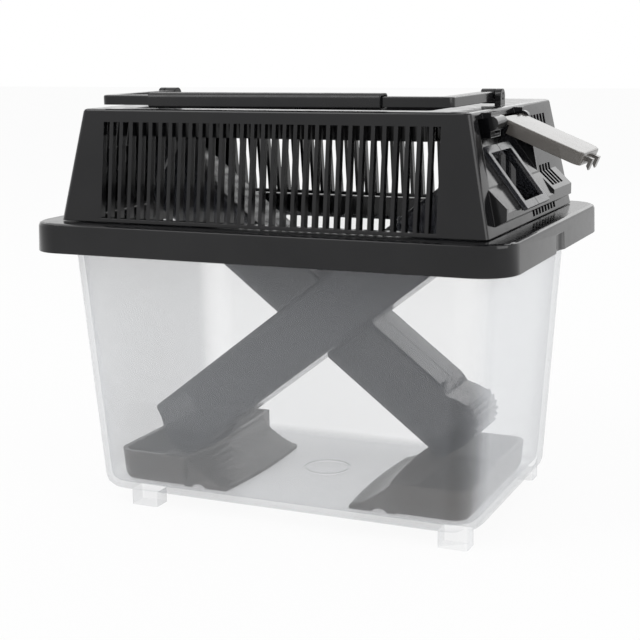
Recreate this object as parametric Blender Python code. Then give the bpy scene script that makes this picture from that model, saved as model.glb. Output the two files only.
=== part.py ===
"""Cricket keeper: a clear tub with a vented lid, two feeding tubes, doors and trays.

Blender 4.5, metres, +Z up. The origin is at the centre of the footprint, on the
underside of the tub's floor. X runs along the length, and -Y is the front. The heights
below are counted from the surface that the feet stand on, and an empty lowers the
whole by the height of the feet.
"""
import math

import bmesh
import bpy
from mathutils import Matrix, Vector

MM = 0.001

# Driving dimensions
LID_LENGTH = 180.0 * MM
LID_WIDTH = 127.4 * MM
HOOD_TOP_Z = 147.9 * MM
RIM_TOP_Z = 108.0 * MM
SEAT_GAP = 0.3 * MM
RUN_GAP = 0.4 * MM
OVERRUN = 6.0 * MM

# Tub
FOOT_HEIGHT = 5.8 * MM
FOOT_LENGTH = 11.0 * MM
FOOT_WIDTH = 8.0 * MM
FOOT_INSET_LEFT = 14.0 * MM
FOOT_INSET_RIGHT = 3.5 * MM
FOOT_INSET_Y = 3.0 * MM
TUB_BASE_LENGTH = 150.0 * MM
TUB_BASE_WIDTH = 96.4 * MM
TUB_TOP_LENGTH = 161.0 * MM
TUB_TOP_WIDTH = 109.0 * MM
TUB_CORNER = 12.0 * MM
TUB_BASE_ROUND = 4.0 * MM
TUB_WALL = 2.2 * MM
TUB_FLANGE = 6.0 * MM
TUB_FLANGE_HEIGHT = 2.0 * MM
FLOOR_RING_RADIUS = 9.0 * MM
FLOOR_RING_WALL = 0.8 * MM
FLOOR_RING_HEIGHT = 0.6 * MM

# Rim frame of the lid
RIM_HEIGHT = 10.5 * MM
RIM_WALL = 2.2 * MM
RIM_CORNER = 12.8 * MM
RIM_EDGE_ROUND = 1.4 * MM
RIM_DRAFT = 0.5 * MM
RIM_OPENING_LENGTH = 151.0 * MM
RIM_OPENING_WIDTH = 99.0 * MM
RIM_OPENING_CORNER = 9.0 * MM
RIM_LIP_DROP = 5.0 * MM
RIM_LIP_WALL = 1.5 * MM
SCOOP_WIDTH = 27.0 * MM
SCOOP_DEPTH = 1.3 * MM
SCOOP_HEIGHT = 6.4 * MM

# Hood of the lid
HOOD_FOOT_LENGTH = 160.4 * MM
HOOD_FOOT_WIDTH = 109.4 * MM
HOOD_TOP_LENGTH = 144.8 * MM
HOOD_TOP_WIDTH = 99.0 * MM
HOOD_CORNER = 2.2 * MM
HOOD_EDGE_ROUND = 1.0 * MM
HOOD_WALL = 2.2 * MM
HATCH_OPENING_LENGTH = 112.0 * MM
HATCH_OPENING_WIDTH = 80.0 * MM
COLLAR_CORNER = 2.0 * MM
COLLAR_WALL = 1.8 * MM
COLLAR_DROP = 10.0 * MM
COLLAR_SHELF = 1.6 * MM
COLLAR_SHELF_HEIGHT = 1.5 * MM

# Vents in the hood
VENT_COUNT = 32
VENT_PITCH = 3.98 * MM
VENT_WIDTH = 2.7 * MM
VENT_BOTTOM_Z = 109.6 * MM
VENT_TOP_Z = 143.4 * MM
END_VENT_COUNT = 5
END_VENT_START_Y = 19.4 * MM
END_VENT_BOTTOM_Z = 132.6 * MM
SLOPE_VENT_COUNT = 4
SLOPE_VENT_START_Y = 19.4 * MM
SLOPE_VENT_TOP_Z = 125.6 * MM
SLOPE_VENT_BOTTOM_Z = 118.6 * MM
COMB_COUNT = 8
COMB_START_Y = 1.4 * MM
COMB_BOTTOM_Z = 109.3 * MM
COMB_TOP_Z = 112.2 * MM

# Ledge and port in each end of the hood
LEDGE_REACH_X = 83.5 * MM
LEDGE_FLARE_Z = 123.3 * MM
LEDGE_TOP_Z = 117.3 * MM
LEDGE_LOW_Z = 113.4 * MM
LEDGE_ROOT_Z = 111.2 * MM
LEDGE_FAR_Y = 40.0 * MM
PORT_NEAR_Y = -43.0 * MM
PORT_FAR_Y = 15.0 * MM
PORT_WALL = 1.8 * MM

# Feeding tubes
TUBE_TILT = math.radians(37.5)
TUBE_WIDTH = 26.0 * MM
TUBE_HEIGHT = 22.7 * MM
TUBE_WALL = 1.6 * MM
TUBE_CORNER = 2.4 * MM
TUBE_OFFSET_Y = 14.0 * MM
TUBE_AXIS_HEIGHT = 52.1 * MM
TUBE_MOUTH = 138.5 * MM
TUBE_TAIL = 30.2 * MM
TUBE_LIP = 1.2 * MM
TUBE_LIP_THICKNESS = 1.5 * MM
TUBE_SEAM = 0.3 * MM
TAIL_DIP = 1.7 * MM
TAIL_FLARE = 0.8 * MM
TAIL_TOOTH = 1.1 * MM
TAIL_TEETH = 6
TAIL_TOOTH_LEAN = math.radians(25)
TAIL_STEP_SHARES = (0.27, 0.43, 0.58, 0.70)
TAIL_END_SHARE = 0.26
TAIL_CUT_SHARES = ((0.99, 0.1), (0.92, 0.55), (0.89, 1.0))

# Doors of the ports
DOOR_LENGTH = 29.5 * MM
DOOR_WIDTH = 25.0 * MM
DOOR_DEPTH = 4.4 * MM
DOOR_WALL = 1.5 * MM
DOOR_CORNER = 3.0 * MM
DOOR_REST = math.radians(22.6)
DOOR_SHUT = math.radians(64.1)
DOOR_HOOK_LENGTH = 2.2 * MM
DOOR_HOOK_WIDTH = 3.0 * MM
DOOR_HOOK_SPACING = 9.0 * MM
HINGE_X = 75.7 * MM
HINGE_Z = 143.8 * MM
BARREL_RADIUS = 1.5 * MM
PIN_RADIUS = 0.9 * MM
PIN_REACH = 1.6 * MM
LUG_THICKNESS = 2.6 * MM
WIDE_LUG_THICKNESS = 10.6 * MM
WIDE_LUG_DROP = 4.6 * MM
LUG_DROP = 1.5 * MM
LUG_RADIUS = 2.4 * MM
LUG_BACK_X = 70.0 * MM

# Hatch in the top
HATCH_PLATE = 2.0 * MM
HATCH_RIM = 3.2 * MM
HATCH_SIDE_GAP = 0.7 * MM
HATCH_HINGE_INSET = 2.4 * MM
HATCH_TAB_LENGTH = 16.0 * MM
HATCH_TAB_WIDTH = 5.0 * MM
HATCH_TAB_HEIGHT = 3.0 * MM

# Carrying handle
HANDLE_REACH = 45.0 * MM
HANDLE_Z = 151.0 * MM
ARM_WIDTH = 4.4 * MM
ARM_HEIGHT = 3.4 * MM
ARM_CORNER = 3.0 * MM
ARM_INNER_CORNER = 1.5 * MM
BOSS_RADIUS = 2.6 * MM
GRIP_LENGTH = 87.0 * MM
GRIP_CENTRE_X = -2.0 * MM
GRIP_WIDTH = 7.4 * MM
GRIP_HEIGHT = 5.4 * MM
EAR_THICKNESS = 2.2 * MM
EAR_INSET = 4.0 * MM

# Feeding trays
TRAY_BOX_LENGTH = 29.0 * MM
TRAY_RAMP_LENGTH = 16.0 * MM
TRAY_HEIGHT = 11.8 * MM
TRAY_FRONT_GAP = 3.0 * MM
TRAY_BACK_GAP = 17.0 * MM
TRAY_LEFT_GAP = 4.8 * MM
TRAY_RIGHT_GAP = 1.3 * MM
TRAY_WALL = 1.5 * MM
TRAY_CORNER = 6.0 * MM
TRAY_BASE_ROUND = 3.0 * MM
TRAY_DRAFT = 1.2 * MM
TRAY_BULGE = 2.4 * MM
RAMP_RIBS = 8
RAMP_RIB_HEIGHT = 0.5 * MM
RAMP_TOE = 1.2 * MM
RAMP_FRONT_INSET = 1.8 * MM
RAMP_BACK_INSET = 10.0 * MM
RAMP_ARCH_RADIUS = 4.0 * MM
RAMP_ARCH_DROP = 2.6 * MM
RAMP_ARCH_OFFSET = 4.7 * MM

# Places worked out from the dimensions above
TUB_FLOOR_Z = FOOT_HEIGHT + TUB_WALL
RIM_BOTTOM_Z = RIM_TOP_Z - RIM_HEIGHT
TUB_TOP_Z = RIM_TOP_Z - RIM_WALL - SEAT_GAP
HOOD_BOTTOM_Z = RIM_TOP_Z + SEAT_GAP
COLLAR_LOW_Z = HOOD_TOP_Z - COLLAR_DROP
TRAY_Z = TUB_FLOOR_Z + SEAT_GAP
TRAY_FRONT_Y = -(TUB_BASE_WIDTH / 2 - TUB_WALL - TRAY_FRONT_GAP)
TRAY_BACK_Y = TUB_BASE_WIDTH / 2 - TUB_WALL - TRAY_BACK_GAP
TRAY_LEFT_X = -(TUB_BASE_LENGTH / 2 - TUB_WALL - TRAY_LEFT_GAP)
TRAY_RIGHT_X = TUB_BASE_LENGTH / 2 - TUB_WALL - TRAY_RIGHT_GAP
HANDLE_HALF_LENGTH = HOOD_TOP_LENGTH / 2 - EAR_INSET - EAR_THICKNESS - RUN_GAP
AXIS_X = -math.sin(TUBE_TILT) * TUBE_AXIS_HEIGHT
AXIS_Z = math.cos(TUBE_TILT) * TUBE_AXIS_HEIGHT

CLEAR = ("clear_plastic", (0.86, 0.88, 0.90, 1.0), 0.05)
BLACK = ("black_plastic", (0.012, 0.012, 0.014, 1.0), 0.18)
SMOKE = ("smoke_plastic", (0.10, 0.10, 0.11, 1.0), 0.12)
TRAY_SMOKE = ("brown_smoke_plastic", (0.16, 0.145, 0.13, 1.0), 0.16)


def clear_scene():
    """Removes what the file holds, so the script can run again."""
    for item in list(bpy.data.objects):
        bpy.data.objects.remove(item, do_unlink=True)


def new_collection(name):
    """A collection linked to the scene."""
    collection = bpy.data.collections.new(name)
    bpy.context.scene.collection.children.link(collection)
    return collection


def material(kind):
    """A Principled material for a colour and roughness, made once."""
    name, colour, roughness = kind
    if name in bpy.data.materials:
        return bpy.data.materials[name]
    made = bpy.data.materials.new(name)
    made.use_nodes = True
    shader = made.node_tree.nodes["Principled BSDF"]
    shader.inputs["Base Color"].default_value = colour
    shader.inputs["Roughness"].default_value = roughness
    shader.inputs["Metallic"].default_value = 0.0
    return made


def finish(bm, name, collection, kind=None):
    """Turns a bmesh into a named object."""
    bmesh.ops.recalc_face_normals(bm, faces=bm.faces)
    mesh = bpy.data.meshes.new(name)
    bm.to_mesh(mesh)
    bm.free()
    made = bpy.data.objects.new(name, mesh)
    collection.objects.link(made)
    if kind:
        mesh.materials.append(material(kind))
    else:
        made.hide_render = True
        made.display_type = "WIRE"
    return made


def box(low, high):
    """A bmesh box between two corners."""
    bm = bmesh.new()
    bmesh.ops.create_cube(bm, size=1.0)
    low = Vector(low)
    high = Vector(high)
    bmesh.ops.scale(bm, vec=high - low, verts=bm.verts)
    bmesh.ops.translate(bm, vec=(low + high) / 2, verts=bm.verts)
    return bm


def edges_along(bm, axis):
    """The edges that run mostly along one axis."""
    picked = []
    for edge in bm.edges:
        run = edge.verts[1].co - edge.verts[0].co
        if abs(run[axis]) > 0.7 * run.length:
            picked.append(edge)
    return picked


def edges_at(bm, height, slack):
    """The edges whose two ends lie at one height."""
    return [e for e in bm.edges if all(abs(v.co.z - height) < slack for v in e.verts)]


def round_edges(bm, edges, radius, segments):
    """Rounds some edges by a radius."""
    bmesh.ops.bevel(bm, geom=edges, offset=radius, segments=segments, profile=0.5,
                    affect="EDGES", clamp_overlap=True)


def tapered_block(base, top, z0, z1, corner, segments=4):
    """A block with rounded upright edges, base size at z0 and top size at z1."""
    bm = box((-base[0] / 2, -base[1] / 2, z0), (base[0] / 2, base[1] / 2, z1))
    middle = (z0 + z1) / 2
    upper = [v for v in bm.verts if v.co.z > middle]
    grow = (top[0] / base[0], top[1] / base[1], 1.0)
    bmesh.ops.scale(bm, vec=grow, verts=upper)
    round_edges(bm, edges_along(bm, 2), corner, segments)
    return bm


def prism(outline, y0, y1, steps=1):
    """An outline in the XZ plane, extruded from y0 to y1 in equal steps."""
    bm = bmesh.new()
    face = bm.faces.new([bm.verts.new((x, y0, z)) for x, z in outline])
    for _ in range(steps):
        made = bmesh.ops.extrude_face_region(bm, geom=[face])["geom"]
        face = next(g for g in made if isinstance(g, bmesh.types.BMFace))
        bmesh.ops.translate(bm, vec=(0, (y1 - y0) / steps, 0), verts=face.verts)
    inner = [f for f in bm.faces if abs(f.normal.y) > 0.9]
    low = min(y0, y1)
    high = max(y0, y1)
    slack = (high - low) / steps / 4
    middle = [f for f in inner if low + slack < f.calc_center_median().y < high - slack]
    bmesh.ops.delete(bm, geom=middle, context="FACES_ONLY")
    return bm


def rod(radius, start, end, sides=20):
    """A cylinder between two points."""
    start = Vector(start)
    end = Vector(end)
    bm = bmesh.new()
    bmesh.ops.create_cone(bm, cap_ends=True, segments=sides, radius1=radius, radius2=radius,
                          depth=(end - start).length)
    turn = Vector((0, 0, 1)).rotation_difference(end - start).to_matrix().to_4x4()
    bmesh.ops.transform(bm, matrix=Matrix.Translation((start + end) / 2) @ turn, verts=bm.verts)
    return bm


def merge(*parts):
    """Joins several bmeshes into the first as separate shells."""
    first = parts[0]
    for other in parts[1:]:
        mesh = bpy.data.meshes.new("shell")
        other.to_mesh(mesh)
        other.free()
        first.from_mesh(mesh)
        bpy.data.meshes.remove(mesh)
    return first


def combine(target, operation, tool_mesh, name):
    """Adds an exact Boolean modifier with a hidden tool object."""
    tool = finish(tool_mesh, name, CUTTERS)
    boolean = target.modifiers.new(name, "BOOLEAN")
    boolean.operation = operation
    boolean.solver = "EXACT"
    boolean.object = tool
    return tool


def place(target, matrix):
    """Places an object and the tools of its Booleans by one matrix."""
    target.matrix_world = matrix
    for modifier in target.modifiers:
        if modifier.type == "BOOLEAN":
            modifier.object.matrix_world = matrix


def smooth(target, angle=35.0):
    """Smooth shading with sharp edges past an angle."""
    target.data.shade_smooth()
    target.data.set_sharp_from_angle(angle=math.radians(angle))


def half_turn(bm):
    """A copy of a bmesh turned half way round the Z axis."""
    other = bm.copy()
    bmesh.ops.rotate(other, matrix=Matrix.Rotation(math.pi, 3, "Z"), verts=other.verts)
    return other


def both_ends(bm):
    """A bmesh and its copy at the opposite end."""
    return merge(bm, half_turn(bm))


def share_between(low, high, share):
    """The value at a share of the way from low to high."""
    return low + (high - low) * share


def hood_half_length(z):
    """Half of the hood's outer length at a height."""
    share = (z - RIM_TOP_Z) / (HOOD_TOP_Z - RIM_TOP_Z)
    return share_between(HOOD_FOOT_LENGTH, HOOD_TOP_LENGTH, share) / 2


def tub_size(z):
    """The tub's outer length and width at a height."""
    share = (z - FOOT_HEIGHT) / (TUB_TOP_Z - FOOT_HEIGHT)
    return (share_between(TUB_BASE_LENGTH, TUB_TOP_LENGTH, share),
            share_between(TUB_BASE_WIDTH, TUB_TOP_WIDTH, share))


def make_tub():
    """The clear tub with its flange, feet and the ring moulded in its floor."""
    base = (TUB_BASE_LENGTH, TUB_BASE_WIDTH)
    top = (TUB_TOP_LENGTH, TUB_TOP_WIDTH)
    outer = tapered_block(base, top, FOOT_HEIGHT, TUB_TOP_Z, TUB_CORNER, 6)
    round_edges(outer, edges_at(outer, FOOT_HEIGHT, SEAT_GAP), TUB_BASE_ROUND, 3)
    tub = finish(outer, "tub", PARTS, CLEAR)
    grow = 2 * TUB_FLANGE
    flange = tapered_block((top[0] + grow, top[1] + grow), (top[0] + grow, top[1] + grow),
                           TUB_TOP_Z - TUB_FLANGE_HEIGHT, TUB_TOP_Z, RIM_CORNER - RIM_WALL, 6)
    combine(tub, "UNION", flange, "tub_flange")
    feet = []
    for sx, inset in ((-1, FOOT_INSET_LEFT), (1, FOOT_INSET_RIGHT)):
        for sy in (-1, 1):
            x = sx * (TUB_BASE_LENGTH / 2 - inset)
            y = sy * (TUB_BASE_WIDTH / 2 - FOOT_INSET_Y)
            low = (min(x, x - sx * FOOT_LENGTH), min(y, y - sy * FOOT_WIDTH), 0)
            high = (max(x, x - sx * FOOT_LENGTH), max(y, y - sy * FOOT_WIDTH), FOOT_HEIGHT + TUB_BASE_ROUND)
            foot = box(low, high)
            round_edges(foot, edges_along(foot, 2), FOOT_WIDTH / 8, 2)
            feet.append(foot)
    combine(tub, "UNION", merge(*feet), "tub_feet")
    shrink = 2 * TUB_WALL
    inner_base = tub_size(TUB_FLOOR_Z)
    inner_top = tub_size(TUB_TOP_Z + OVERRUN)
    inner = tapered_block((inner_base[0] - shrink, inner_base[1] - shrink),
                          (inner_top[0] - shrink, inner_top[1] - shrink),
                          TUB_FLOOR_Z, TUB_TOP_Z + OVERRUN, TUB_CORNER - TUB_WALL, 6)
    round_edges(inner, edges_at(inner, TUB_FLOOR_Z, SEAT_GAP), TUB_BASE_ROUND - TUB_WALL / 2, 3)
    combine(tub, "DIFFERENCE", inner, "tub_inside")
    ring = rod(FLOOR_RING_RADIUS, (0, 0, FOOT_HEIGHT + TUB_WALL / 2),
               (0, 0, TUB_FLOOR_Z + FLOOR_RING_HEIGHT), 32)
    combine(tub, "UNION", ring, "tub_ring")
    hollow = rod(FLOOR_RING_RADIUS - FLOOR_RING_WALL, (0, 0, TUB_FLOOR_Z),
                 (0, 0, TUB_FLOOR_Z + OVERRUN), 32)
    combine(tub, "DIFFERENCE", hollow, "tub_ring_hollow")
    smooth(tub)
    return tub


def make_rim():
    """The lower moulding of the lid, a channel that caps the tub's flange."""
    size = (LID_LENGTH, LID_WIDTH)
    top = (LID_LENGTH - RIM_DRAFT, LID_WIDTH - RIM_DRAFT)
    outer = tapered_block(size, top, RIM_BOTTOM_Z, RIM_TOP_Z, RIM_CORNER, 7)
    round_edges(outer, edges_at(outer, RIM_TOP_Z, SEAT_GAP), RIM_EDGE_ROUND, 2)
    rim = finish(outer, "rim_frame", PARTS, BLACK)
    shrink = 2 * RIM_WALL
    inner_size = (LID_LENGTH - shrink, LID_WIDTH - shrink)
    under = tapered_block(inner_size, inner_size, RIM_BOTTOM_Z - OVERRUN, RIM_TOP_Z - RIM_WALL,
                          RIM_CORNER - RIM_WALL, 7)
    combine(rim, "DIFFERENCE", under, "rim_underside")
    opening = (RIM_OPENING_LENGTH, RIM_OPENING_WIDTH)
    grow = 2 * RIM_LIP_WALL
    lip_size = (opening[0] + grow, opening[1] + grow)
    lip = tapered_block(lip_size, lip_size, RIM_TOP_Z - RIM_WALL - RIM_LIP_DROP, RIM_TOP_Z - RIM_WALL / 2,
                        RIM_OPENING_CORNER + RIM_LIP_WALL, 5)
    combine(rim, "UNION", lip, "rim_lip")
    hole = tapered_block(opening, opening, RIM_BOTTOM_Z - OVERRUN, RIM_TOP_Z + OVERRUN,
                         RIM_OPENING_CORNER, 5)
    combine(rim, "DIFFERENCE", hole, "rim_opening")
    reach = LID_LENGTH / 2
    scoop = rod(SCOOP_WIDTH / 2, (reach - SCOOP_DEPTH, 0, RIM_BOTTOM_Z - OVERRUN),
                (reach - SCOOP_DEPTH, 0, RIM_BOTTOM_Z + SCOOP_HEIGHT), 28)
    bmesh.ops.translate(scoop, vec=(SCOOP_WIDTH / 2, 0, 0), verts=scoop.verts)
    combine(rim, "DIFFERENCE", both_ends(scoop), "rim_scoops")
    smooth(rim)
    return rim


def in_port(s, n):
    """A point of the XZ plane from its place along and across the front tube."""
    return (s * math.cos(TUBE_TILT) - n * math.sin(TUBE_TILT),
            s * math.sin(TUBE_TILT) + n * math.cos(TUBE_TILT))


def plate_point(s, x):
    """The height at which a plane square to the tube passes a given X."""
    return (x, (s - x * math.cos(TUBE_TILT)) / math.sin(TUBE_TILT))


def add_ledges_and_ports(hood):
    """The ledge along each end, and the pocket and bore for each tube."""
    seat = TUBE_MOUTH - TUBE_LIP_THICKNESS - SEAT_GAP
    back = seat - PORT_WALL
    roof_z = HOOD_TOP_Z - HOOD_WALL
    start = PORT_NEAR_Y - PORT_WALL
    flare_x = hood_half_length(LEDGE_FLARE_Z)
    root_x = hood_half_length(LEDGE_ROOT_Z)
    embed = HOOD_WALL / 2
    ledge = prism([(flare_x - embed, LEDGE_FLARE_Z), (flare_x, LEDGE_FLARE_Z),
                   (LEDGE_REACH_X, LEDGE_TOP_Z), (LEDGE_REACH_X, LEDGE_LOW_Z),
                   (root_x, LEDGE_ROOT_Z), (root_x - embed, LEDGE_ROOT_Z)], start, LEDGE_FAR_Y)
    combine(hood, "UNION", both_ends(ledge), "hood_ledges")
    deep = 2 * HOOD_WALL
    cave = prism([(flare_x - deep, LEDGE_FLARE_Z - embed), (flare_x - HOOD_WALL, LEDGE_FLARE_Z - embed),
                  (LEDGE_REACH_X - HOOD_WALL, LEDGE_TOP_Z - embed),
                  (LEDGE_REACH_X - HOOD_WALL, LEDGE_LOW_Z + embed),
                  (root_x - HOOD_WALL, LEDGE_ROOT_Z + embed), (root_x - deep, LEDGE_ROOT_Z + embed)],
                 PORT_FAR_Y + PORT_WALL, LEDGE_FAR_Y - HOOD_WALL)
    combine(hood, "DIFFERENCE", both_ends(cave), "hood_ledge_caves")
    roof_back = (back - roof_z * math.sin(TUBE_TILT)) / math.cos(TUBE_TILT)
    housing = prism([(roof_back, roof_z + embed / 2), plate_point(back, roof_back),
                     plate_point(back, LEDGE_REACH_X - embed), (LEDGE_REACH_X - embed, LEDGE_TOP_Z - embed),
                     (flare_x - embed, LEDGE_FLARE_Z),
                     (hood_half_length(roof_z) - embed, roof_z + embed / 2)],
                    start, PORT_FAR_Y + PORT_WALL)
    combine(hood, "UNION", both_ends(housing), "hood_housings")
    outside = LEDGE_REACH_X + OVERRUN
    pocket_top = roof_z - SEAT_GAP
    pocket_back = (seat - pocket_top * math.sin(TUBE_TILT)) / math.cos(TUBE_TILT)
    pocket = prism([(pocket_back, pocket_top), plate_point(seat, outside), (outside, pocket_top)],
                   PORT_NEAR_Y, PORT_FAR_Y)
    combine(hood, "DIFFERENCE", both_ends(pocket), "hood_pockets")
    half = TUBE_HEIGHT / 2 + RUN_GAP
    bore = prism([in_port(back - TUBE_HEIGHT, TUBE_AXIS_HEIGHT - half),
                  in_port(seat + OVERRUN, TUBE_AXIS_HEIGHT - half),
                  in_port(seat + OVERRUN, TUBE_AXIS_HEIGHT + half),
                  in_port(back - TUBE_HEIGHT, TUBE_AXIS_HEIGHT + half)],
                 -TUBE_OFFSET_Y - TUBE_WIDTH / 2 - RUN_GAP, -TUBE_OFFSET_Y + TUBE_WIDTH / 2 + RUN_GAP)
    combine(hood, "DIFFERENCE", both_ends(bore), "hood_bores")


def make_hood():
    """The vented upper moulding, with its ports, ledges, collar and hinge lugs."""
    foot = (HOOD_FOOT_LENGTH, HOOD_FOOT_WIDTH)
    top = (HOOD_TOP_LENGTH, HOOD_TOP_WIDTH)
    outer = tapered_block(foot, top, HOOD_BOTTOM_Z, HOOD_TOP_Z, HOOD_CORNER, 3)
    round_edges(outer, edges_at(outer, HOOD_TOP_Z, SEAT_GAP), HOOD_EDGE_ROUND, 2)
    hood = finish(outer, "hood", PARTS, BLACK)
    shrink = 2 * HOOD_WALL
    roof_z = HOOD_TOP_Z - HOOD_WALL
    inner = tapered_block((foot[0] - shrink, foot[1] - shrink), (top[0] - shrink, top[1] - shrink),
                          HOOD_BOTTOM_Z - OVERRUN, roof_z, HOOD_CORNER / 2, 2)
    combine(hood, "DIFFERENCE", inner, "hood_inside")
    add_ledges_and_ports(hood)
    opening = (HATCH_OPENING_LENGTH, HATCH_OPENING_WIDTH)
    grow = 2 * COLLAR_WALL
    collar_size = (opening[0] + grow, opening[1] + grow)
    collar = tapered_block(collar_size, collar_size, COLLAR_LOW_Z, roof_z + HOOD_WALL / 2,
                           COLLAR_CORNER + COLLAR_WALL, 4)
    combine(hood, "UNION", collar, "hood_collar")
    recess = tapered_block(opening, opening, COLLAR_LOW_Z + COLLAR_SHELF_HEIGHT, HOOD_TOP_Z + OVERRUN,
                           COLLAR_CORNER, 4)
    combine(hood, "DIFFERENCE", recess, "hood_recess")
    shelf = 2 * COLLAR_SHELF
    through_size = (opening[0] - shelf, opening[1] - shelf)
    through = tapered_block(through_size, through_size, COLLAR_LOW_Z - OVERRUN, HOOD_TOP_Z + OVERRUN,
                            COLLAR_CORNER - COLLAR_SHELF, 4)
    combine(hood, "DIFFERENCE", through, "hood_through")
    combine(hood, "DIFFERENCE", vent_cutters(), "hood_vents")
    combine(hood, "UNION", hinge_lugs(), "hood_lugs")
    combine(hood, "DIFFERENCE", hinge_holes(), "hood_lug_holes")
    smooth(hood)
    return hood


def vent_row(count, start_y, inside_x, z0, z1):
    """A row of bars through the right-hand end wall."""
    bars = []
    for i in range(count):
        y = start_y + i * VENT_PITCH
        low = (inside_x, y - VENT_WIDTH / 2, z0)
        high = (LEDGE_REACH_X + OVERRUN, y + VENT_WIDTH / 2, z1)
        bars.append(box(low, high))
    return bars


def vent_cutters():
    """The bars that cut the long walls and the end walls of the hood."""
    bars = []
    collar_y = HATCH_OPENING_WIDTH / 2 + COLLAR_WALL
    inside_y = (collar_y + HOOD_TOP_WIDTH / 2 - HOOD_WALL) / 2
    outside_y = HOOD_FOOT_WIDTH / 2 + OVERRUN
    for i in range(VENT_COUNT):
        x = (i - (VENT_COUNT - 1) / 2) * VENT_PITCH
        low = (x - VENT_WIDTH / 2, -outside_y, VENT_BOTTOM_Z)
        high = (x + VENT_WIDTH / 2, -inside_y, VENT_TOP_Z)
        bars.append(box(low, high))
    wall_x = hood_half_length(VENT_TOP_Z) - 2 * HOOD_WALL
    bars += vent_row(END_VENT_COUNT, END_VENT_START_Y, wall_x, END_VENT_BOTTOM_Z, VENT_TOP_Z)
    wall_x = hood_half_length(SLOPE_VENT_TOP_Z) - 2 * HOOD_WALL
    bars += vent_row(SLOPE_VENT_COUNT, SLOPE_VENT_START_Y, wall_x, SLOPE_VENT_BOTTOM_Z, SLOPE_VENT_TOP_Z)
    wall_x = hood_half_length(COMB_TOP_Z) - 2 * HOOD_WALL
    bars += vent_row(COMB_COUNT, COMB_START_Y, wall_x, COMB_BOTTOM_Z, COMB_TOP_Z)
    return both_ends(merge(*bars))


def hinge_lugs():
    """The ears that carry the doors' pins and the handle's pins."""
    ears = []
    for side, thickness, drop in (
            (-1, WIDE_LUG_THICKNESS, WIDE_LUG_DROP), (1, LUG_THICKNESS, LUG_DROP)):
        start = -TUBE_OFFSET_Y + side * (DOOR_WIDTH / 2 + RUN_GAP)
        end = start + side * thickness
        block = box((LUG_BACK_X, min(start, end), HINGE_Z - drop),
                    (HINGE_X, max(start, end), HOOD_TOP_Z - HOOD_WALL / 4))
        nose = rod(LUG_RADIUS, (HINGE_X, start, HINGE_Z), (HINGE_X, end, HINGE_Z), 16)
        ears.append(union_of(block, nose))
    inner = HANDLE_HALF_LENGTH + RUN_GAP
    block = box((inner, -BOSS_RADIUS, HOOD_TOP_Z - HOOD_WALL / 2),
                (inner + EAR_THICKNESS, BOSS_RADIUS, HANDLE_Z))
    nose = rod(BOSS_RADIUS, (inner, 0, HANDLE_Z), (inner + EAR_THICKNESS, 0, HANDLE_Z), 20)
    ears.append(union_of(block, nose))
    return both_ends(merge(*ears))


def union_of(first, second):
    """The exact union of two bmeshes, as a new bmesh."""
    base = finish(first, "union_base", CUTTERS)
    combine(base, "UNION", second, "union_tool")
    graph = bpy.context.evaluated_depsgraph_get()
    mesh = bpy.data.meshes.new_from_object(base.evaluated_get(graph))
    joined = bmesh.new()
    joined.from_mesh(mesh)
    for used in (base.modifiers[0].object, base):
        bpy.data.objects.remove(used, do_unlink=True)
    return joined


def hinge_holes():
    """The sockets for the pins in those ears."""
    half = DOOR_WIDTH / 2 + RUN_GAP + LUG_THICKNESS + OVERRUN
    door_pin = rod(PIN_RADIUS + RUN_GAP, (HINGE_X, -TUBE_OFFSET_Y - half, HINGE_Z),
                   (HINGE_X, -TUBE_OFFSET_Y + half, HINGE_Z), 16)
    inner = HANDLE_HALF_LENGTH
    outer = inner + EAR_THICKNESS + OVERRUN
    bail_pin = rod(PIN_RADIUS + RUN_GAP, (inner, 0, HANDLE_Z), (outer, 0, HANDLE_Z), 16)
    hatch_x = HATCH_OPENING_LENGTH / 2
    hatch_y, hatch_z = hatch_axis()
    hatch_pin = rod(PIN_RADIUS + RUN_GAP, (hatch_x - COLLAR_SHELF, hatch_y, hatch_z),
                    (hatch_x + COLLAR_WALL + RUN_GAP, hatch_y, hatch_z), 16)
    other = rod(PIN_RADIUS + RUN_GAP, (-hatch_x + COLLAR_SHELF, hatch_y, hatch_z),
                (-hatch_x - COLLAR_WALL - RUN_GAP, hatch_y, hatch_z), 16)
    return merge(both_ends(merge(door_pin, bail_pin)), hatch_pin, other)


def tube_outline(inset=0.0, overrun=0.0):
    """The side outline of a tube, in its own frame with its mouth at +X; a hollow has no teeth."""
    half = TUBE_HEIGHT / 2 - inset
    flat, dip, rise, lip = (-TUBE_TAIL * share for share in TAIL_STEP_SHARES)
    flare = -half - TAIL_FLARE
    end = -TUBE_TAIL + inset
    end_z = -TUBE_HEIGHT / 2 * TAIL_END_SHARE
    points = [(TUBE_MOUTH + overrun, -half), (flat, -half), (dip, -half + TAIL_DIP), (rise, -half)]
    for i in range(TAIL_TEETH):
        turn = math.radians(90) * i / TAIL_TEETH
        x = share_between(lip, end, math.sin(turn))
        z = share_between(end_z, flare, math.cos(turn))
        points.append((x, z))
        if not inset:
            lean = turn + TAIL_TOOTH_LEAN
            points.append((x - TAIL_TOOTH * math.sin(lean), z - TAIL_TOOTH * math.cos(lean)))
    points.append((end, end_z))
    if inset:
        points += [(-TUBE_TAIL - overrun, end_z), (-TUBE_TAIL - overrun, half)]
    else:
        points += [(-TUBE_TAIL * along, half * up) for along, up in TAIL_CUT_SHARES]
    points.append((TUBE_MOUTH + overrun, half))
    return points


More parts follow.
